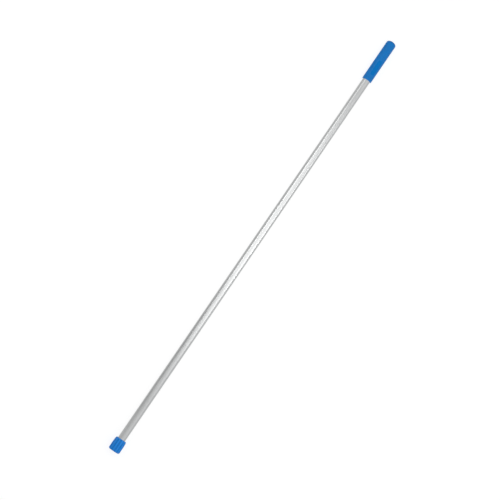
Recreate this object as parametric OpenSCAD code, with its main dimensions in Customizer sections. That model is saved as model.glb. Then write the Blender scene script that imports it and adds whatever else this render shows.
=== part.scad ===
// Boat hook pole: aluminium tube, domed hand grip, and a clamping socket for a
// push-in head. The pole lies along X with its grip towards +X and its socket
// mouth towards -X. The origin is under the middle of the pole, on the surface
// that the ribs of the lock collar rest on, and +Z is up.

/* [Pole] */
// Overall length, socket mouth to the top of the grip
pole_len = 1500; // [900:10:2400]
// Outside diameter of the tube
tube_od = 25; // [24:0.5:26]
// Wall thickness of the tube
tube_wall = 1.25; // [1:0.05:1.5]

/* [Hand grip] */
// Outside diameter of the grip
grip_od = 31; // [29:0.1:34]
// Length of the grip, lower rim to the top of the dome
grip_len = 142.5; // [110:0.5:200]
// Height of the dome
dome_h = 9.6; // [7:0.1:12]
// Length of the blank recessed panel on the grip
panel_len = 54; // [30:1:70]
// Width of the blank recessed panel
panel_w = 13.6; // [8:0.2:16]
// Depth of the recessed panel
panel_depth = 0.4; // [0.2:0.05:0.8]
// Width of the plain band at the grip's rim
rim_band = 9.5; // [6:0.5:12]
// Depth of the fine groove above that band
rim_groove = 0.3; // [0.2:0.05:0.5]

/* [Lock collar] */
// Outside diameter over the ribs
collar_od = 37.8; // [37.6:0.1:40]
// Length of the collar
collar_len = 42.5; // [40:0.5:50]
// Radius of the rounded outer edges at both ends of the collar
edge_r = 5; // [5:0.5:7]
// Radius of the long shallow arc that crowns the collar's upper end
crown_r = 120; // [110:10:400]
// Number of grip ribs round the collar
rib_count = 12; // [10:2:16]
// Depth of the grooves between the ribs
groove_depth = 1.3; // [0.8:0.1:1.4]
// Radius of the cutter that leaves each groove
groove_r = 2.6; // [1.6:0.1:2.8]

/* [Socket] */
// Bore that takes the spigot of the head
socket_d = 19.2; // [18:0.1:19.4]
// Depth of the cylindrical bore, seat to blind end
socket_depth = 50; // [40:1:55]
// Pitch of the knuckle thread, one full turn of the collar
thread_pitch = 3; // [2.5:0.5:3]
// Width of the slit in the clamp ring
slit_w = 3; // [2:0.5:4]

/* [Hidden] */
$fn = 96;
eps = 0.01;

tube_r = tube_od / 2;
tube_ri = tube_r - tube_wall;
grip_r = grip_od / 2;
collar_r = collar_od / 2;

// The collar rests on the edges of the two lowest ribs, so the pole's axis
// stands at the height of those edges
groove_c = collar_r - groove_depth + groove_r;
rib_edge = acos((collar_r * collar_r + groove_c * groove_c - groove_r * groove_r) / (2 * collar_r * groove_c));
axis_z = collar_r * cos(rib_edge);

// Stations along the axis, measured from the socket mouth
collar_wall_s = 3.5;      // inner face of the collar's front wall
head_s = 8.6;             // nose of the socket body
tube_s = 20;              // lower end of the tube, inside the socket body
sleeve_s = 39.5;          // upper edge of the sleeve round the tube
sleeve_lo_s = tube_s - 1.2; // lower edge of the sleeve, where the thread ends
skirt_s = sleeve_lo_s - 0.5; // start of the collar's plain skirt
seat_len = 5.6;           // length of the tapered seat
bore_s = head_s + seat_len;
bore_end_s = bore_s + socket_depth;
spigot_end_s = bore_end_s + 11;
pin_s = 31;               // the two retaining pins
seal_s = bore_end_s + 6;  // the O-ring
plug_s = pole_len - 14;   // upper end of the tube
cap_s = pole_len - 12;    // inside end face of the grip
grip_s = pole_len - grip_len;

// Radii of the socket
socket_r = socket_d / 2;
sleeve_r = tube_r + 1.7;
thread_r = tube_r + 1.1;  // mean radius of the male knuckle thread
thread_e = 0.5;           // half the thread depth
thread_gap = 0.4;         // clearance between the two threads
seat_r = tube_r - 0.4;    // mouth of the tapered seat
seat_slope = (seat_r - socket_r) / seat_len;
ring_gap = 0.38;          // radial clearance of the wedge in its seat
ring_ri = socket_r + 0.15;
ring_flange_r = tube_r + 0.5;
seal_d = 1.8;             // O-ring cross-section
pin_r = 1.5;

// Places a shape drawn along +Z from z = 0 on the pole's axis, from the mouth
module on_axis() {
    translate([-pole_len / 2, 0, axis_z]) rotate([0, 90, 0]) children();
}

// A plain disc or rod of the pole, from station a to station b
module rod(r, a, b) {
    translate([0, 0, a]) cylinder(h = b - a, r = r);
}

// Single-start right-hand knuckle thread: a circle whose centre goes round the
// axis once per pitch. Rings of ring_n points, turn_n rings a turn
ring_n = 36;
turn_n = 12;
module knuckle(r, e, a, b) {
    rings = ceil((b - a) / thread_pitch * turn_n);
    dz = (b - a) / rings;
    pts = [for (k = [0:rings]) let (s = a + k * dz, c = 360 * s / thread_pitch)
        for (i = [0:ring_n - 1])
            [e * cos(c) + r * cos(360 * i / ring_n), e * sin(c) + r * sin(360 * i / ring_n), s]];
    sides = [for (k = [0:rings - 1], i = [0:ring_n - 1]) let (j = (i + 1) % ring_n)
        each [[k * ring_n + i, (k + 1) * ring_n + i, (k + 1) * ring_n + j],
              [k * ring_n + i, (k + 1) * ring_n + j, k * ring_n + j]]];
    polyhedron(points = pts, faces = concat(
        [[for (i = [0:ring_n - 1]) i]],
        sides,
        [[for (i = [ring_n - 1:-1:0]) rings * ring_n + i]]));
}

// Drawn aluminium tube with two cross holes for the retaining pins
module pole_tube() {
    color([0.78, 0.79, 0.81]) on_axis() difference() {
        rod(tube_r, tube_s, plug_s);
        rod(tube_ri, tube_s - 1, plug_s + 1);
        translate([0, 0, pin_s]) rotate([90, 0, 0]) cylinder(h = 2 * tube_r + 4, r = pin_r, center = true);
    }
}

// Domed grip moulding: straight barrel, elliptical dome, lead-in at the rim and
// a blank capsule-shaped panel sunk into the side that faces up
module hand_grip() {
    n = 24;
    m = 12;
    cav_r = tube_r - 2;
    cav_h = 12 - 3.2;
    outer = concat(
        [[tube_r, grip_s], [grip_r - 0.7, grip_s], [grip_r - 0.2, grip_s + 0.2], [grip_r, grip_s + 0.7],
         [grip_r, grip_s + rim_band], [grip_r - rim_groove, grip_s + rim_band + 0.5],
         [grip_r - rim_groove, grip_s + rim_band + 1], [grip_r, grip_s + rim_band + 1.5]],
        [for (i = [0:n]) [grip_r * cos(90 * i / n), pole_len - dome_h + dome_h * sin(90 * i / n)]],
        [for (i = [0:m]) [cav_r * sin(90 * i / m), cap_s + cav_h * cos(90 * i / m)]],
        [[tube_r, cap_s]]);
    color([0.06, 0.42, 0.80]) on_axis() difference() {
        rotate_extrude() polygon(outer);
        rotate([0, 0, 180 + 9.5]) intersection() {
            translate([0, 0, grip_s + 45.5]) rotate([0, 90, 0]) linear_extrude(height = grip_r + 2) union() {
                square([panel_len - panel_w, panel_w], center = true);
                translate([(panel_len - panel_w) / 2, 0]) circle(d = panel_w);
                translate([-(panel_len - panel_w) / 2, 0]) circle(d = panel_w);
            }
            difference() {
                rod(grip_r + 2, grip_s + 2, pole_len - dome_h);
                rod(grip_r - panel_depth, grip_s + 1, pole_len - dome_h + 1);
            }
        }
    }
}

// Cup-shaped bung that closes the tube's upper end, flange under the grip
module end_plug() {
    color([0.16, 0.16, 0.17]) on_axis() difference() {
        union() {
            rod(tube_r, plug_s, cap_s);
            rod(tube_ri, plug_s - 24, plug_s + eps);
        }
        rod(tube_ri - 1.8, plug_s - 25, plug_s - 1.5);
    }
}

// Socket moulding: threaded head, tapered seat and blind bore, spigot inside
// the tube and sleeve outside it
module socket_body() {
    color([0.86, 0.86, 0.84]) on_axis() difference() {
        union() {
            knuckle(thread_r, thread_e, head_s, tube_s + 0.4);
            rod(sleeve_r, sleeve_lo_s, sleeve_s);
            rod(tube_ri, tube_s, spigot_end_s);
        }
        // slot for the tube wall
        difference() {
            rod(tube_r, tube_s, sleeve_s + 1);
            rod(tube_ri, tube_s - 1, sleeve_s + 2);
        }
        // blind bore and its tapered seat
        rod(socket_r, head_s, bore_end_s);
        translate([0, 0, head_s - 1]) cylinder(h = seat_len + 1, r1 = seat_r + seat_slope, r2 = socket_r);
        // O-ring groove
        difference() {
            rod(tube_ri + 1, seal_s - seal_d * 0.6, seal_s + seal_d * 0.6);
            rod(tube_ri - seal_d, seal_s - seal_d, seal_s + seal_d);
        }
        // holes for the retaining pins, short of the bore
        for (a = [0, 180]) rotate([0, 0, a]) translate([0, socket_r + 0.4, pin_s])
            rotate([-90, 0, 0]) cylinder(h = 8, r = pin_r);
    }
}

// O-ring on the socket body, against the inside of the tube
module socket_seal() {
    color([0.05, 0.05, 0.05]) on_axis() translate([0, 0, seal_s])
        rotate_extrude() translate([tube_ri - seal_d / 2, 0]) circle(d = seal_d, $fn = 32);
}

// Two pins through the sleeve, the tube and the spigot
module socket_pins() {
    color([0.70, 0.71, 0.73]) on_axis()
        for (a = [0, 180]) rotate([0, 0, a]) translate([0, socket_r + 0.4, pin_s])
            rotate([-90, 0, 0]) cylinder(h = sleeve_r - 0.2 - socket_r - 0.4, r = pin_r);
}

// Split wedge ring: a flange held in the collar and a tail in the tapered seat
module clamp_ring() {
    tail_s = 11;
    color([0.90, 0.89, 0.85]) on_axis() difference() {
        rotate_extrude() polygon([
            [ring_ri, collar_wall_s + 0.3],
            [ring_flange_r, collar_wall_s + 0.3],
            [ring_flange_r, 7.2],
            [seat_r - ring_gap, 7.2],
            [seat_r - ring_gap, head_s],
            [seat_r - ring_gap - seat_slope * (tail_s - head_s), tail_s],
            [ring_ri, tail_s]]);
        translate([-slit_w / 2, 0, 0]) cube([slit_w, 20, 20]);
    }
}

// Ribbed clamping nut: mouth, recess with a snap bead for the clamp ring,
// knuckle thread, and a skirt over the sleeve
module lock_collar() {
    skirt_r = sleeve_r + 0.5;
    mouth_r = socket_r + 0.8;
    // the front rounding runs down to a flat end face
    edge_c = collar_r - edge_r;
    front_a = asin(max(0, (mouth_r + 3.6 - edge_c) / edge_r));
    // the upper end is crowned: the long arc first, then the edge's own rounding
    crown_s = collar_len - 18.5;
    knee_s = collar_len - 4;
    tilt = asin((knee_s - crown_s) / crown_r);
    back_c = knee_s - edge_r * sin(tilt);
    back_cr = collar_r - crown_r * (1 - cos(tilt)) - edge_r * cos(tilt);
    back_a = asin((collar_len - back_c) / edge_r);
    n = 10;
    color([0.06, 0.42, 0.80]) on_axis() difference() {
        rotate_extrude() polygon(concat(
            [[0, 0]],
            [for (i = [0:n]) let (a = front_a + (90 - front_a) * i / n)
                [edge_c + edge_r * sin(a), edge_r * (cos(front_a) - cos(a))]],
            [for (i = [0:n]) let (a = tilt * i / n)
                [collar_r - crown_r * (1 - cos(a)), crown_s + crown_r * sin(a)]],
            [for (i = [1:n]) let (a = tilt + (back_a - tilt) * i / n)
                [back_cr + edge_r * cos(a), back_c + edge_r * sin(a)]],
            [[0, collar_len]]));
        // grooves between the ribs
        for (i = [0:rib_count - 1]) rotate([0, 0, 360 * i / rib_count])
            translate([groove_c, 0, -1]) cylinder(h = collar_len + 2, r = groove_r, $fn = 48);
        // mouth with a lead-in
        rod(mouth_r, -1, collar_wall_s + 1);
        translate([0, 0, -eps]) cylinder(h = 1.5, r1 = mouth_r + 1.5, r2 = mouth_r);
        // recess for the clamp ring and the bead that keeps it there
        rod(ring_flange_r + 0.35, collar_wall_s, 7.6);
        rod(ring_flange_r - 0.15, 7.5, head_s);
        knuckle(thread_r + thread_gap, thread_e, head_s - 0.4, skirt_s + 0.3);
        rod(skirt_r, skirt_s, collar_len + 1);
    }
}

pole_tube();
hand_grip();
end_plug();
socket_body();
socket_seal();
socket_pins();
clamp_ring();
lock_collar();
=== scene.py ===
import math

import bmesh
import bpy
import numpy as np
from mathutils import Matrix, Vector


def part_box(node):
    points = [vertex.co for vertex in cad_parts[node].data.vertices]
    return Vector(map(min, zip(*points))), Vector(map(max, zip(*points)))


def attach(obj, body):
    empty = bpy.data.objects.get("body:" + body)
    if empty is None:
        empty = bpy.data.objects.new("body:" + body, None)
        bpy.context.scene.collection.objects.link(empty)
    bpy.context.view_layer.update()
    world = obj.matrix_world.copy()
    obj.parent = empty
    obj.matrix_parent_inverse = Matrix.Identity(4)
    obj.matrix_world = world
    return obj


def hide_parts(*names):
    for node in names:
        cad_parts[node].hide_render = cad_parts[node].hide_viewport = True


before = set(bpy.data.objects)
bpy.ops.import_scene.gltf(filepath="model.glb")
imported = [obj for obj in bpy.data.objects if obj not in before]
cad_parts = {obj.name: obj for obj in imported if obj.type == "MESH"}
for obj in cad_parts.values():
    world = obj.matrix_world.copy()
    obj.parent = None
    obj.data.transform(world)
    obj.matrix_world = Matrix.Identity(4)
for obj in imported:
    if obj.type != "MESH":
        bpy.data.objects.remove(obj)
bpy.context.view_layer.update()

# ---------------------------------------------------------------- the frame
tube_lo, tube_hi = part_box("pole_tube")
grip_lo, grip_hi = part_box("hand_grip")
coll_lo, coll_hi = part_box("lock_collar")
AZ = (tube_lo.z + tube_hi.z) / 2          # height of the pole's axis
X0 = coll_lo.x                            # socket mouth
LEN = grip_hi.x - X0                      # mouth to the top of the dome
TUBE_R = (tube_hi.y - tube_lo.y) / 2
GRIP_R = (grip_hi.y - grip_lo.y) / 2
MM = 0.001
TUBE_R = round(TUBE_R / MM, 1) * MM
GRIP_R = round(GRIP_R / MM, 1) * MM
TUBE_RI = TUBE_R - 1.25 * MM
TUBE_S0 = tube_lo.x - X0
TUBE_S1 = tube_hi.x - X0
GRIP_S = grip_lo.x - X0
CAP_S = LEN - 12 * MM
COLLAR_LEN = coll_hi.x - X0
COLLAR_R = 18.9 * MM


def place(s, r, phi):
    """A point at station s, radius r and angle phi (0 at the bottom, 90 deg towards +Y)."""
    return (X0 + s, r * math.sin(phi), AZ - r * math.cos(phi))


def new_object(name, verts, faces, smooth=True):
    me = bpy.data.meshes.new(name)
    me.from_pydata([tuple(v) for v in verts], [], faces)
    me.validate()
    bm = bmesh.new()
    bm.from_mesh(me)
    bmesh.ops.remove_doubles(bm, verts=bm.verts, dist=1e-7)
    bmesh.ops.delete(bm, geom=[v for v in bm.verts if not v.link_faces], context="VERTS")
    bmesh.ops.recalc_face_normals(bm, faces=bm.faces)
    bm.to_mesh(me)
    bm.free()
    me.polygons.foreach_set("use_smooth", [smooth] * len(me.polygons))
    ob = bpy.data.objects.new(name, me)
    bpy.context.scene.collection.objects.link(ob)
    return ob


def sharpen(ob, degrees=40):
    """Marks edges sharper than that angle, so smooth shading stays off them."""
    me = ob.data
    bm = bmesh.new()
    bm.from_mesh(me)
    lim = math.radians(degrees)
    for e in bm.edges:
        e.smooth = not (len(e.link_faces) == 2 and e.calc_face_angle(0) > lim)
    bm.to_mesh(me)
    bm.free()


def paint_wear_and_light(ob, value):
    """Gives each vertex its value of painted light and wear, from value(s, r, phi)."""
    at = ob.data.attributes.new("wear_and_painted_light", "FLOAT", "POINT")
    out = []
    for v in ob.data.vertices:
        y, z = v.co.y, v.co.z - AZ
        out.append(max(0.0, min(1.0, value(v.co.x - X0, math.hypot(y, z), math.atan2(y, -z)))))
    at.data.foreach_set("value", out)


def arc(cs, cr, rad, a0, a1, n):
    """Points of an arc in the (s, r) plane, angles in degrees from +s towards +r."""
    return [(cs + rad * math.cos(math.radians(a0 + (a1 - a0) * i / n)),
             cr + rad * math.sin(math.radians(a0 + (a1 - a0) * i / n))) for i in range(n + 1)]


def lathe(name, loop, cols, shape=None, closed=True, gaps=(), patches=()):
    """Turns a loop of (s, r) points round the axis. cols is a count, or the columns' own angles.
    shape(s, r, phi, k) may return a new (s, r). gaps are (row, row, column, column) windows left
    open, and each patch adds the (verts, faces) that close one."""
    phis = cols if isinstance(cols, list) else [2 * math.pi * j / cols for j in range(cols)]
    cols = len(phis)
    verts, rows = [], []
    for k, (s, r) in enumerate(loop):
        if r < 1e-9 and not (shape and r < 0):
            rows.append([len(verts)])
            verts.append(place(s, 0, 0))
            continue
        row = []
        for p in phis:
            ss, rr = shape(s, r, p, k) if shape else (s, r)
            row.append(len(verts))
            verts.append(place(ss, rr, p))
        rows.append(row)
    faces = []
    n = len(rows)
    for k in range(n if closed else n - 1):
        a, b = rows[k], rows[(k + 1) % n]
        for j in range(cols):
            jj = (j + 1) % cols
            if any(k0 <= k < k1 and j0 <= j < j1 for k0, k1, j0, j1 in gaps):
                continue
            if len(a) == 1 and len(b) == 1:
                break
            if len(a) == 1:
                faces.append((a[0], b[jj], b[j]))
            elif len(b) == 1:
                faces.append((a[j], a[jj], b[0]))
            else:
                faces.append((a[j], a[jj], b[jj], b[j]))
    for pv, pf in patches:
        base = len(verts)
        verts += pv
        faces += [tuple(base + i for i in f) for f in pf]
    return new_object(name, verts, faces)


def capsule_rings(us, dphis, radius, half, rad, steps):
    """Rings from the edge of a window in a cylinder to a capsule (half is half its straight
    length, rad its end radius). us are the window's rows, measured along the axis from its
    middle, with one at +half and one at -half, and dphis its columns. Each step is (blend,
    outset, depth): blend 0 is the window's edge, and outset moves the capsule outwards.
    Gives one list of (u, w, depth) per ring, w being the distance across, seen from above."""
    w = [radius * math.sin(d) for d in dphis]
    edge = [(u, w[-1]) for u in us] + [(us[-1], v) for v in reversed(w[:-1])]
    edge += [(u, w[0]) for u in reversed(us[:-1])] + [(us[0], v) for v in w[1:-1]]
    n, m, c = len(edge), len(us) - 1, len(w) - 1
    near = min(range(m + 1), key=lambda i: abs(us[i] - half))
    far = min(range(m + 1), key=lambda i: abs(us[i] + half))
    a0, a1 = near, m + c + (m - near)                       # the end at +half
    b0, b1 = m + c + (m - far), n + far                     # the end at -half
    out = []
    for blend, outset, depth in steps:
        q = rad + outset
        ring = []
        for i, (eu, ew) in enumerate(edge):
            if a0 <= i <= a1:
                t = math.pi / 2 - math.pi * (i - a0) / (a1 - a0)
                u, v = half + q * math.cos(t), q * math.sin(t)
            elif i >= b0 or i + n <= b1:
                ii = i if i >= b0 else i + n
                t = -math.pi / 2 - math.pi * (ii - b0) / (b1 - b0)
                u, v = -half + q * math.cos(t), q * math.sin(t)
            else:
                u, v = eu, q if ew > 0 else -q
            ring.append((eu + (u - eu) * blend, ew + (v - ew) * blend, depth))
        out.append(ring)
    return out


def patch(rings, mid_s, mid_phi, radius):
    """Turns rings of (u, w, depth) into (verts, faces) on the cylinder of that radius."""
    verts = [place(mid_s + u, radius - d, mid_phi + math.asin(max(-1, min(1, w / radius)))) for r in rings for u, w, d in r]
    n = len(rings[0])
    faces = [(k * n + i, k * n + (i + 1) % n, (k + 1) * n + (i + 1) % n, (k + 1) * n + i)
             for k in range(len(rings) - 1) for i in range(n)]
    return verts, faces


# ------------------------------------------------------------ light levels
FLOOR_GLOW = 0.84
SKY = ((-1.0, 1.0), (-0.7, 0.80), (-0.35, 0.60), (0.05, 0.46), (0.5, 0.52), (1.0, 0.60))   # brightness against height, towards SKY_UP
SKY_UP = (0.0, -0.25, 0.9682)
SIDE = 1.18, 0.79                             # brightness of the -Y side of the room, and of the +Y side
PANEL_Z = 1.3
PANELS = ((0.0, 0.6, -3.5, -2.2, 3.86),       # x from, x to, y from, y to, radiance
          (-0.3, 0.3, -2.2, -0.8, 1.04),
          (-0.3, 0.6, -0.8, 0.8, 0.72),
          (0.0, 0.6, 0.8, 1.4, 2.16),
          (0.6, 1.8, 0.8, 1.4, 0.84))
CARDS = ((-0.1, 0.9, 0.8, 0.0, 0.5, 0.16),        # upright, on the +Y side: x from, x to, y, z from, z to, radiance
         (-1.0, -0.64, 0.35, 0.02, 0.3, 0.2))
TURN = Matrix.Rotation(math.radians(-7.2), 3, "X")   # camera and lights, turned together about the pole's axis


def turned(p):
    axis = Vector((0, 0, AZ))
    return TURN @ (Vector(p) - axis) + axis


# ------------------------------------------------------------ materials
def material(name):
    m = bpy.data.materials.new(name)
    m.use_nodes = True
    nt = m.node_tree
    nt.nodes.clear()
    out = nt.nodes.new("ShaderNodeOutputMaterial")
    bs = nt.nodes.new("ShaderNodeBsdfPrincipled")
    nt.links.new(bs.outputs["BSDF"], out.inputs["Surface"])
    return m, nt, bs


def node(nt, kind, **inputs):
    n = nt.nodes.new(kind)
    for k, v in inputs.items():
        if k in n.inputs:
            n.inputs[k].default_value = v
        else:
            setattr(n, k, v)
    return n


def stretched(nt, sx, sy, sz):
    tc = nt.nodes.new("ShaderNodeTexCoord")
    mp = nt.nodes.new("ShaderNodeMapping")
    mp.inputs["Scale"].default_value = (sx, sy, sz)
    nt.links.new(tc.outputs["Object"], mp.inputs["Vector"])
    return mp.outputs["Vector"]


def noise(nt, vec, scale, detail=3.0, rough=0.5):
    n = nt.nodes.new("ShaderNodeTexNoise")
    n.inputs["Scale"].default_value = scale
    n.inputs["Detail"].default_value = detail
    n.inputs["Roughness"].default_value = rough
    nt.links.new(vec, n.inputs["Vector"])
    return n.outputs["Fac"]


def remap(nt, value, a, b, c, d):
    n = nt.nodes.new("ShaderNodeMapRange")
    n.inputs["From Min"].default_value = a
    n.inputs["From Max"].default_value = b
    n.inputs["To Min"].default_value = c
    n.inputs["To Max"].default_value = d
    nt.links.new(value, n.inputs["Value"])
    return n.outputs["Result"]


def math_node(nt, op, a, b=None):
    n = nt.nodes.new("ShaderNodeMath")
    n.operation = op
    for i, v in enumerate((a, b)):
        if v is None:
            continue
        if isinstance(v, (int, float)):
            n.inputs[i].default_value = v
        else:
            nt.links.new(v, n.inputs[i])
    return n.outputs["Value"]


def mix_colour(nt, fac, a, b):
    n = nt.nodes.new("ShaderNodeMix")
    n.data_type = "RGBA"
    for sock, v in ((n.inputs[0], fac), (n.inputs[6], a), (n.inputs[7], b)):
        if isinstance(v, (tuple, list)):
            sock.default_value = (*v, 1.0)
        elif isinstance(v, (int, float)):
            sock.default_value = v
        else:
            nt.links.new(v, sock)
    return n.outputs[2]


def bump(nt, bs, height, strength, distance, before=None):
    n = nt.nodes.new("ShaderNodeBump")
    n.inputs["Strength"].default_value = strength
    n.inputs["Distance"].default_value = distance
    nt.links.new(height, n.inputs["Height"])
    if before is not None:
        nt.links.new(before, n.inputs["Normal"])
    nt.links.new(n.outputs["Normal"], bs.inputs["Normal"])
    return n.outputs["Normal"]


def anodised():
    m, nt, bs = material("satin_anodised")
    bs.inputs["Metallic"].default_value = 1.0
    fine = noise(nt, stretched(nt, 3.0, 900.0, 900.0), 1.0, 3.0, 0.6)      # drawn lines
    broad = noise(nt, stretched(nt, 1.2, 160.0, 160.0), 1.0, 2.0, 0.5)     # wider bands
    cloud = noise(nt, stretched(nt, 14.0, 14.0, 14.0), 1.0, 3.0, 0.5)
    t = math_node(nt, "ADD", math_node(nt, "MULTIPLY", fine, 0.55), math_node(nt, "MULTIPLY", broad, 0.45))
    base = mix_colour(nt, remap(nt, t, 0.3, 0.7, 0.0, 1.0), (0.66, 0.668, 0.672), (0.80, 0.808, 0.806))
    nt.links.new(base, bs.inputs["Base Color"])
    rough = math_node(nt, "ADD", remap(nt, fine, 0.25, 0.75, 0.27, 0.37), remap(nt, cloud, 0.3, 0.7, -0.02, 0.03))
    nt.links.new(rough, bs.inputs["Roughness"])
    bump(nt, bs, t, 0.35, 0.00004)
    return m


def moulded(name, base, deep, rough, grain=1500.0, grain_h=0.00002, rough_var=0.05, spec=0.4, painted_shade_and_light=None):
    """Moulded plastic. The last argument, if given, is (colour, colour): a darker colour for painted shade
    and a lighter one for painted highlight and wear, mixed by the mesh's own per-vertex value from 0 to 1, with 0.5
    leaving the plain colour."""
    m, nt, bs = material(name)
    bs.inputs["Specular IOR Level"].default_value = spec
    vec = stretched(nt, 1.0, 1.0, 1.0)
    cloud = noise(nt, vec, 38.0, 4.0, 0.55)
    speck = noise(nt, vec, 420.0, 2.0, 0.5)
    grainy = noise(nt, vec, grain, 2.0, 0.6)
    t = math_node(nt, "ADD", math_node(nt, "MULTIPLY", cloud, 0.7), math_node(nt, "MULTIPLY", speck, 0.3))
    col = mix_colour(nt, remap(nt, t, 0.32, 0.68, 0.0, 1.0), deep, base)
    r = math_node(nt, "ADD", remap(nt, cloud, 0.3, 0.7, rough - rough_var, rough + rough_var),
                  remap(nt, grainy, 0.3, 0.7, -0.03, 0.03))
    if painted_shade_and_light:
        # painted shade below 0.5 and painted highlight above it: the per-vertex value mixes the colour towards the two
        # given colours, and also lowers the roughness where it is high
        at = nt.nodes.new("ShaderNodeAttribute")
        at.attribute_name = "wear_and_painted_light"
        uneven = remap(nt, speck, 0.3, 0.7, 0.75, 1.0)
        up = math_node(nt, "MULTIPLY", remap(nt, at.outputs["Fac"], 0.5, 1.0, 0.0, 1.0), uneven)
        down = math_node(nt, "MULTIPLY", remap(nt, at.outputs["Fac"], 0.5, 0.0, 0.0, 1.0), uneven)
        col = mix_colour(nt, down, mix_colour(nt, up, col, painted_shade_and_light[1]), painted_shade_and_light[0])
        r = math_node(nt, "ADD", r, math_node(nt, "MULTIPLY", math_node(nt, "SUBTRACT", at.outputs["Fac"], 0.5), -0.08))
    nt.links.new(col, bs.inputs["Base Color"])
    nt.links.new(r, bs.inputs["Roughness"])
    bump(nt, bs, grainy, 0.5, grain_h)
    return m


GRIP_BLUE = (0.002, 0.215, 0.66)
COLL_BLUE = (0.001, 0.250, 0.82)
mats = {
    "anodised": anodised(),
    # the grip's pair: a darker colour for painted shade, and a lighter one for painted highlight and wear
    "grip": moulded("grip_polypropylene", GRIP_BLUE, tuple(c * 0.88 for c in GRIP_BLUE), 0.36, spec=0.26,
                    painted_shade_and_light=(tuple(c * 0.8 for c in GRIP_BLUE), tuple(c * 1.12 + 0.012 for c in GRIP_BLUE))),
    "panel": moulded("grip_panel_polished", tuple(c * 0.99 for c in GRIP_BLUE), tuple(c * 0.9 for c in GRIP_BLUE), 0.2, 700.0,
                     0.000006, 0.03, spec=0.1),
    # the collar's pair: a darker colour for painted shade in the rib grooves, and a lighter one for painted highlight
    # on the rib crests
    "collar": moulded("collar_polypropylene", COLL_BLUE, tuple(c * 0.90 for c in COLL_BLUE), 0.27, spec=0.32,
                      painted_shade_and_light=(tuple(c * 0.78 for c in COLL_BLUE), tuple(c * 1.13 + 0.02 for c in COLL_BLUE))),
    "socket": moulded("socket_nylon", (0.60, 0.60, 0.57), (0.50, 0.50, 0.48), 0.5, 900.0),
    "ring": moulded("ring_acetal", (0.80, 0.79, 0.73), (0.70, 0.69, 0.63), 0.34, 1200.0),
    "plug": moulded("plug_polyethylene", (0.035, 0.035, 0.037), (0.02, 0.02, 0.021), 0.5),
    "seal": moulded("seal_nitrile", (0.02, 0.02, 0.02), (0.012, 0.012, 0.012), 0.55),
    "pin": None,
}


def steel():
    m, nt, bs = material("pin_stainless")
    bs.inputs["Metallic"].default_value = 1.0
    turned = noise(nt, stretched(nt, 1.0, 1.0, 1.0), 900.0, 3.0, 0.6)
    nt.links.new(mix_colour(nt, remap(nt, turned, 0.3, 0.7, 0.0, 1.0), (0.50, 0.50, 0.51), (0.66, 0.66, 0.67)),
                 bs.inputs["Base Color"])
    nt.links.new(remap(nt, turned, 0.3, 0.7, 0.22, 0.36), bs.inputs["Roughness"])
    bump(nt, bs, turned, 0.3, 0.00001)
    return m


mats["pin"] = steel()


def dress(ob, m):
    ob.data.materials.clear()
    ob.data.materials.append(m)


for cad_node, key in (("end_plug", "plug"), ("socket_body", "socket"), ("socket_seal", "seal"),
                      ("socket_pins", "pin"), ("clamp_ring", "ring")):
    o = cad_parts[cad_node]
    if len(o.material_slots):
        for s_ in o.material_slots:
            s_.material = mats[key]
    else:
        o.data.materials.append(mats[key])


# ------------------------------------------------------------ the tube
PIN_S = 31 * MM
PIN_R = 1.5 * MM


def make_tube():
    c = 0.25 * MM
    cols = 160
    us = [-3.6 * MM, -1.8 * MM, 0.0, 1.8 * MM, 3.6 * MM]
    span = 6
    zone = [PIN_S + u for u in us]
    stations = sorted([TUBE_S0 + c, TUBE_S0 + 4 * MM] + zone
                      + [zone[-1] + (TUBE_S1 - zone[-1]) * i / 40 for i in range(1, 40)] + [TUBE_S1 - c])
    outer = [(s, TUBE_R) for s in stations]
    inner_s = sorted([TUBE_S0 + c, TUBE_S0 + 4 * MM] + zone
                     + [zone[-1] + (TUBE_S1 - zone[-1]) * i / 12 for i in range(1, 12)] + [TUBE_S1 - c], reverse=True)
    inner = [(s, TUBE_RI) for s in inner_s]
    loop = outer + [(TUBE_S1, TUBE_R - c), (TUBE_S1, TUBE_RI + c)] + inner + [(TUBE_S0, TUBE_RI + c), (TUBE_S0, TUBE_R - c)]
    k_out = min(range(len(outer)), key=lambda k: abs(outer[k][0] - zone[0]))
    k_in = len(outer) + 2 + min(range(len(inner)), key=lambda k: abs(inner[k][0] - zone[-1]))
    gaps, patches = [], []
    for mid in (cols // 4, 3 * cols // 4):
        dphis = [2 * math.pi * j / cols for j in range(-span, span + 1)]
        phi = 2 * math.pi * mid / cols
        gaps += [(k_out, k_out + len(us) - 1, mid - span, mid + span), (k_in, k_in + len(us) - 1, mid - span, mid + span)]
        top = capsule_rings(us, dphis, TUBE_R, 0.0, PIN_R,
                            [(0, 0, 0), (0.6, 0.3 * MM, 0), (1, 0.1 * MM, 0), (1, 0, 0.1 * MM)])
        low = capsule_rings(us, dphis, TUBE_RI, 0.0, PIN_R,
                            [(0, 0, 0), (0.6, 0.3 * MM, 0), (1, 0.1 * MM, 0), (1, 0, -0.1 * MM)])
        patches += [patch(top, PIN_S, phi, TUBE_R), patch(low, PIN_S, phi, TUBE_RI)]
        wall = patch([top[-1]], PIN_S, phi, TUBE_R)[0] + patch([low[-1]], PIN_S, phi, TUBE_RI)[0]
        n = len(top[-1])
        patches.append((wall, [(i, (i + 1) % n, n + (i + 1) % n, n + i) for i in range(n)]))
    ob = lathe("tube", loop, cols, gaps=gaps, patches=patches)
    sharpen(ob, 40)
    dress(ob, mats["anodised"])
    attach(ob, "pole")
    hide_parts("pole_tube")
    return ob


# ------------------------------------------------------------ the hand grip
PANEL_MID = GRIP_S + 45.5 * MM
PANEL_PHI = math.radians(180 + 9.5)


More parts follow.
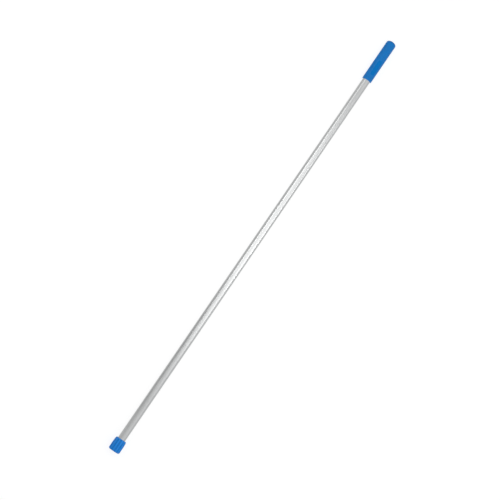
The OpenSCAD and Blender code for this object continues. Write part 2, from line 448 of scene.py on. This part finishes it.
def make_grip():
    dome_h = 9.6 * MM
    n = 24
    # dome, with the small round gate recess that moulding leaves in its middle
    loop = [(LEN - 0.22 * MM, 0.0), (LEN - 0.22 * MM, 0.35 * MM), (LEN - 0.33 * MM, 0.5 * MM), (LEN - 0.34 * MM, 1.5 * MM),
            (LEN - 0.28 * MM, 1.75 * MM), (LEN - 0.11 * MM, 1.95 * MM)]
    loop += [(LEN - dome_h + dome_h * math.cos(math.radians(90 * i / n)), GRIP_R * math.sin(math.radians(90 * i / n)))
             for i in range(2, n + 1)]
    g = GRIP_S + 9.5 * MM
    s_hi = LEN - dome_h
    half, rad, deep = 20.2 * MM, 6.8 * MM, 0.4 * MM
    ends = [22.4 * MM, 24.8 * MM, 27.2 * MM, 29.6 * MM, 32 * MM]
    us = [-e for e in reversed(ends)] + [-half + 2 * half * i / 20 for i in range(21)] + ends
    top = PANEL_MID + us[-1]
    m = 20
    loop += [(s_hi + (top - s_hi) * i / m, GRIP_R) for i in range(1, m)]
    k0 = len(loop)
    loop += [(PANEL_MID + u, GRIP_R) for u in reversed(us)]
    barrel = len(loop)
    loop += [(g + 1.9 * MM, GRIP_R), (g + 1.5 * MM, GRIP_R - 0.04 * MM), (g + 1.2 * MM, GRIP_R - 0.2 * MM),
             (g + 0.95 * MM, GRIP_R - 0.29 * MM), (g + 0.55 * MM, GRIP_R - 0.29 * MM), (g + 0.3 * MM, GRIP_R - 0.2 * MM),
             (g, GRIP_R - 0.04 * MM), (g - 0.4 * MM, GRIP_R), (g - 2 * MM, GRIP_R), (g - 5 * MM, GRIP_R)]
    loop += arc(GRIP_S + 0.9 * MM, GRIP_R - 0.9 * MM, 0.9 * MM, 90, 180, 6)
    skin = len(loop)
    loop += [(GRIP_S, TUBE_R + 0.9 * MM)]
    loop += [(GRIP_S + 0.12 * MM, TUBE_R + 0.3 * MM), (GRIP_S + 0.5 * MM, TUBE_R)]
    loop += [(GRIP_S + 0.5 * MM + (CAP_S - GRIP_S - 0.5 * MM) * i / 8, TUBE_R) for i in range(1, 9)]
    cr, ch = TUBE_R - 2 * MM, 8.8 * MM
    loop += [(CAP_S + ch * math.sin(math.radians(90 * i / 12)), cr * math.cos(math.radians(90 * i / 12))) for i in range(12)]
    loop += [(CAP_S + ch, 0.0)]
    # columns, with a few close ones each side of the two parting lines
    step, span = math.radians(2.25), 18
    phis = []
    for j in range(-span, 160 - span):
        if j in (40, 120):
            phis += [PANEL_PHI + j * step + math.radians(d) for d in (-0.9, -0.4, 0, 0.4, 0.9)]
        else:
            phis.append(PANEL_PHI + j * step)

    def shape(s, r, phi, k):
        if k >= skin or r < 2.5 * MM:
            return s, r
        off = min(abs((phi - PANEL_PHI - a + math.pi) % (2 * math.pi) - math.pi) for a in (math.pi / 2, -math.pi / 2))
        line = max(0.0, 1 - math.degrees(off) / 0.85)
        return s, r - 0.07 * MM * line ** 0.7

    dphis = [step * j for j in range(-span, span + 1)]
    walls = [(0, 0, 0), (0.35, 1.4 * MM, 0), (0.7, 0.8 * MM, 0), (1, 0.45 * MM, 0), (1, 0.12 * MM, 0), (1, 0.02 * MM, 0.015 * MM),
             (1, -0.08 * MM, 0.1 * MM), (1, -0.17 * MM, 0.25 * MM), (1, -0.27 * MM, 0.36 * MM), (1, -0.4 * MM, deep),
             (1, -0.7 * MM, deep), (1, -1.6 * MM, deep), (1, -3.0 * MM, deep), (1, -4.9 * MM, deep), (1, -rad, deep)]
    rings = capsule_rings(us, dphis, GRIP_R, half, rad, walls)
    ob = lathe("grip", loop, phis, shape, closed=False, gaps=[(k0, k0 + len(us) - 1, 0, 2 * span)],
               patches=[patch(rings, PANEL_MID, PANEL_PHI, GRIP_R)])
    # painted light and wear on the grip: the rim and dome tip lighter, partly wear and partly painted highlight; a
    # painted highlight line along the panel's lip; painted shade in the small ring groove near the lower end and at the
    # foot of the panel's recess wall
    def wear_and_light_at(s, r, phi):
        if r < TUBE_R + 0.2 * MM:
            return 0.5
        rim = math.exp(-((s - GRIP_S) / (1.2 * MM)) ** 2)
        low = math.exp(-((s - g - 0.75 * MM) / (0.8 * MM)) ** 2)
        tip = max(0.0, 1 - (LEN - s) / (9 * MM))
        u, w = abs(s - PANEL_MID) - half, GRIP_R * math.sin(phi - PANEL_PHI)
        edge = math.hypot(max(u, 0), w) - rad if math.cos(phi - PANEL_PHI) > 0 else 1.0
        lip = math.exp(-((edge - 0.12 * MM) / (0.3 * MM)) ** 2)
        foot = math.exp(-((edge + 0.4 * MM) / (0.25 * MM)) ** 2)
        return 0.5 + 0.4 * rim - 0.35 * low + 0.2 * tip + 0.35 * lip - 0.3 * foot

    paint_wear_and_light(ob, wear_and_light_at)
    sharpen(ob, 45)
    dress(ob, mats["grip"])
    ob.data.materials.append(mats["panel"])
    for f in ob.data.polygons:
        d = f.center - Vector(place(PANEL_MID, 0, 0))
        q = math.atan2(d.y, -d.z) - PANEL_PHI
        u, w = abs(d.x) - half, math.hypot(d.y, d.z) * math.sin(q)
        if math.cos(q) > 0 and math.hypot(max(u, 0), w) < rad - 0.3 * MM and math.hypot(d.y, d.z) > TUBE_R + 1 * MM:
            f.material_index = 1
    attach(ob, "pole")
    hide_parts("hand_grip")
    return ob


# ------------------------------------------------------------ the lock collar
def smin(a, b, k):
    h = max(k - abs(a - b), 0.0) / k
    return min(a, b) - h * h * k / 4


def make_collar():
    ribs, gd, gr = 12, 1.3 * MM, 2.6 * MM
    gc = COLLAR_R - gd + gr
    mouth, wall = 10.4 * MM, 3.5 * MM
    skirt = 14.7 * MM
    edge = 5 * MM
    front = math.degrees(math.asin(max(0.0, (mouth + 3.6 * MM - COLLAR_R + edge) / edge)))
    front_c = edge * math.cos(math.radians(front))
    # the upper end is crowned: a long shallow arc, then a short one down to the end face
    crown_s, crown_r, crown_end = 24 * MM, 120 * MM, 38.5 * MM
    tilt = math.asin((crown_end - crown_s) / crown_r)
    knee_r = COLLAR_R - crown_r * (1 - math.cos(tilt))
    back_c, back_r = crown_end - edge * math.sin(tilt), knee_r - edge * math.cos(tilt)
    back = math.degrees(math.acos((COLLAR_LEN - back_c) / edge))
    flange = 13.35 * MM
    bead = 12.85 * MM
    head, lo, hi = 8.6 * MM, 8.2 * MM, 18.3 * MM
    outer = arc(front_c, COLLAR_R - edge, edge, 180 - front, 90, 18)
    outer += [(front_c + (crown_s - front_c) * i / 8, COLLAR_R) for i in range(1, 8)]
    outer += arc(crown_s, COLLAR_R - crown_r, crown_r, 90, 90 - math.degrees(tilt), 14)[:-1]
    outer += arc(back_c, back_r, edge, 90 - math.degrees(tilt), back, 16)
    inner = [(COLLAR_LEN, skirt + 0.15 * MM), (COLLAR_LEN - 0.2 * MM, skirt)]
    inner += [(COLLAR_LEN - (COLLAR_LEN - hi) * i / 6, skirt) for i in range(1, 7)]
    thread_rows = 48
    k0 = len(outer) + len(inner)
    inner += [(hi - (hi - lo) * i / thread_rows, -1) for i in range(thread_rows + 1)]
    inner += [(lo, bead), (7.6 * MM, bead), (7.5 * MM, bead + 0.1 * MM), (7.5 * MM, flange), (wall + 0.2 * MM, flange),
              (wall, flange - 0.2 * MM), (wall, mouth + 0.2 * MM), (wall - 0.2 * MM, mouth), (1.5 * MM, mouth),
              (0.25 * MM, mouth + 1.25 * MM), (0.0, mouth + 1.6 * MM)]
    loop = outer + inner
    tr = TUBE_R + 1.1 * MM + 0.4 * MM

    def shape(s, r, phi, k):
        if r < 0:
            c = 2 * math.pi * s / (3 * MM)
            d = phi - c
            e = 0.5 * MM
            return s, e * math.cos(d) + math.sqrt(tr * tr - (e * math.sin(d)) ** 2)
        if k >= len(outer):
            return s, r
        step = 2 * math.pi / ribs
        p = (phi + step / 2) % step - step / 2
        q = gc * gc * math.sin(p) ** 2
        groove = gc * math.cos(p) - math.sqrt(gr * gr - q) if q < gr * gr else 1.0
        r -= 0.25 * MM * (1 - abs(p) / (step / 2)) ** 2      # the ribs' crests are a little crowned
        return s, smin(r, groove, 0.9 * MM) if groove < 1 else r

    # painted light on the collar: rib crests lighter as a painted highlight, grooves darker as painted shade
    def wear_and_light_at(s, r, phi):
        if r < skirt + 0.4 * MM:
            return 0.5
        step = 2 * math.pi / ribs
        p = abs((phi + step / 2) % step - step / 2) / (step / 2)
        lift = max(0.0, min(1.0, (s - 6 * MM) / (22 * MM)))       # the painted highlight and shade grow stronger towards the pole's end
        return 0.5 + (0.32 + 0.18 * lift) * max(-1.0, min(1.0, (p - 0.5) * 3.2))

    ob = lathe("collar", loop, 288, shape)
    paint_wear_and_light(ob, wear_and_light_at)
    sharpen(ob, 40)
    dress(ob, mats["collar"])
    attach(ob, "lock_collar")
    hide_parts("lock_collar")
    return ob


make_tube()
make_grip()
make_collar()

# ------------------------------------------------------------ stage, light, camera
scene = bpy.context.scene
scene.view_settings.view_transform = "Standard"
scene.view_settings.look = "None"


def plain_emitter(name, colour, strength, one_sided=False, albedo=0.0):
    m, nt, bs = material(name)
    bs.inputs["Base Color"].default_value = (albedo, albedo, albedo, 1)
    bs.inputs["Roughness"].default_value = 0.9
    bs.inputs["Specular IOR Level"].default_value = 0.0
    bs.inputs["Emission Color"].default_value = (*colour, 1)
    bs.inputs["Emission Strength"].default_value = strength
    if one_sided:
        geo = nt.nodes.new("ShaderNodeNewGeometry")
        clear = nt.nodes.new("ShaderNodeBsdfTransparent")
        mx = nt.nodes.new("ShaderNodeMixShader")
        out = next(n for n in nt.nodes if n.type == "OUTPUT_MATERIAL")
        nt.links.new(geo.outputs["Backfacing"], mx.inputs[0])
        nt.links.new(bs.outputs["BSDF"], mx.inputs[1])
        nt.links.new(clear.outputs["BSDF"], mx.inputs[2])
        nt.links.new(mx.outputs["Shader"], out.inputs["Surface"])
    return m


# a pale floor, lit like a light table; seen from below it is clear
FLOOR_R = 11.0
floor_me = bpy.data.meshes.new("floor")
floor_me.from_pydata([(FLOOR_R * math.cos(2 * math.pi * i / 64), FLOOR_R * math.sin(2 * math.pi * i / 64), -0.0008)
                      for i in range(64)], [], [tuple(range(64))])
floor = bpy.data.objects.new("floor", floor_me)
scene.collection.objects.link(floor)
dress(floor, plain_emitter("pale_floor", (1, 1, 1), FLOOR_GLOW, True, 0.25))
floor.visible_glossy = floor.visible_diffuse = False   # a lamp cannot be shaded, so it must not light what lies on it

# a white backdrop all round, seen only directly
bm = bmesh.new()
bmesh.ops.create_uvsphere(bm, u_segments=48, v_segments=24, radius=12.0)
back_me = bpy.data.meshes.new("backdrop")
bm.to_mesh(back_me)
bm.free()
backdrop = bpy.data.objects.new("backdrop", back_me)
scene.collection.objects.link(backdrop)
dress(backdrop, plain_emitter("backdrop_white", (1, 1, 1), 1.0))
backdrop.visible_glossy = backdrop.visible_diffuse = backdrop.visible_shadow = backdrop.visible_transmission = False

world = bpy.data.worlds.new("studio")
scene.world = world
world.use_nodes = True
wt = world.node_tree
bg = next(n for n in wt.nodes if n.type == "BACKGROUND")
tc = wt.nodes.new("ShaderNodeTexCoord")
sx = wt.nodes.new("ShaderNodeVectorMath")
sx.operation = "DOT_PRODUCT"
sx.inputs[1].default_value = TURN @ Vector(SKY_UP)
mr = wt.nodes.new("ShaderNodeMapRange")
mr.inputs["From Min"].default_value, mr.inputs["From Max"].default_value = -1.0, 1.0
cr = wt.nodes.new("ShaderNodeValToRGB")
wt.links.new(tc.outputs["Generated"], sx.inputs[0])
wt.links.new(sx.outputs["Value"], mr.inputs["Value"])
wt.links.new(mr.outputs["Result"], cr.inputs["Fac"])
wt.links.new(cr.outputs["Color"], bg.inputs["Color"])
ramp = cr.color_ramp
while len(ramp.elements) > 1:
    ramp.elements.remove(ramp.elements[-1])
for k, (z, v) in enumerate(SKY):
    el = ramp.elements[0] if k == 0 else ramp.elements.new((z + 1) / 2)
    el.position = (z + 1) / 2
    el.color = (v, v * 1.004, v * 1.004, 1)
sy = wt.nodes.new("ShaderNodeVectorMath")
sy.operation = "DOT_PRODUCT"
sy.inputs[1].default_value = TURN @ Vector((0, 1, 0))
side = wt.nodes.new("ShaderNodeMapRange")
side.inputs["From Min"].default_value, side.inputs["From Max"].default_value = -1.0, 1.0
side.inputs["To Min"].default_value, side.inputs["To Max"].default_value = SIDE
wt.links.new(tc.outputs["Generated"], sy.inputs[0])
wt.links.new(sy.outputs["Value"], side.inputs["Value"])
wt.links.new(side.outputs["Result"], bg.inputs["Strength"])


def area(name, loc, target, size_x, size_y, radiance, spin=0.0, shape="RECTANGLE"):
    li = bpy.data.lights.new(name, "AREA")
    li.shape = shape
    watts = radiance * math.pi * size_x * size_y * (1.0 if shape == "RECTANGLE" else math.pi / 4)
    li.size, li.size_y = size_x, size_y
    li.energy = watts
    ob = bpy.data.objects.new(name, li)
    scene.collection.objects.link(ob)
    ob.location = turned(loc)
    d = (Vector(target) - Vector(loc)).normalized()
    ob.rotation_mode = "QUATERNION"
    # the lamp's own x follows the pole, turned by spin about the beam
    xa = Vector((math.cos(spin), math.sin(spin), 0))
    xa = (xa - d * xa.dot(d)).normalized()
    za = -d
    ya = za.cross(xa)
    ob.rotation_quaternion = (TURN @ Matrix((xa, ya, za)).transposed()).to_quaternion()
    return ob


for k, (x0, x1, y0, y1, radiance) in enumerate(PANELS):
    mid = ((x0 + x1) / 2, (y0 + y1) / 2)
    area("softbox_%d" % k, (*mid, PANEL_Z), (*mid, 0), x1 - x0, y1 - y0, radiance)
for k, (x0, x1, y, z0, z1, radiance) in enumerate(CARDS):
    mx, mz = (x0 + x1) / 2, (z0 + z1) / 2
    area("side_card_%d" % k, (mx, y, mz), (mx, 0, mz), x1 - x0, z1 - z0, radiance)

cam_data = bpy.data.cameras.new("camera")
cam_data.lens = 146
cam_data.sensor_width = 36
cam_data.clip_start, cam_data.clip_end = 0.05, 100
cam = bpy.data.objects.new("camera", cam_data)
scene.collection.objects.link(cam)
a, e = math.radians(-55.774), math.radians(85.4)
back = Vector((math.sin(a) * math.cos(e), -math.cos(a) * math.cos(e), math.sin(e)))
cam.rotation_mode = "QUATERNION"
cam.rotation_quaternion = TURN.to_quaternion() @ (-back).to_track_quat("-Z", "Y")
cam.location = turned(Vector((-0.01999, 0.00173, AZ)) + back * 6.1274)
scene.camera = cam
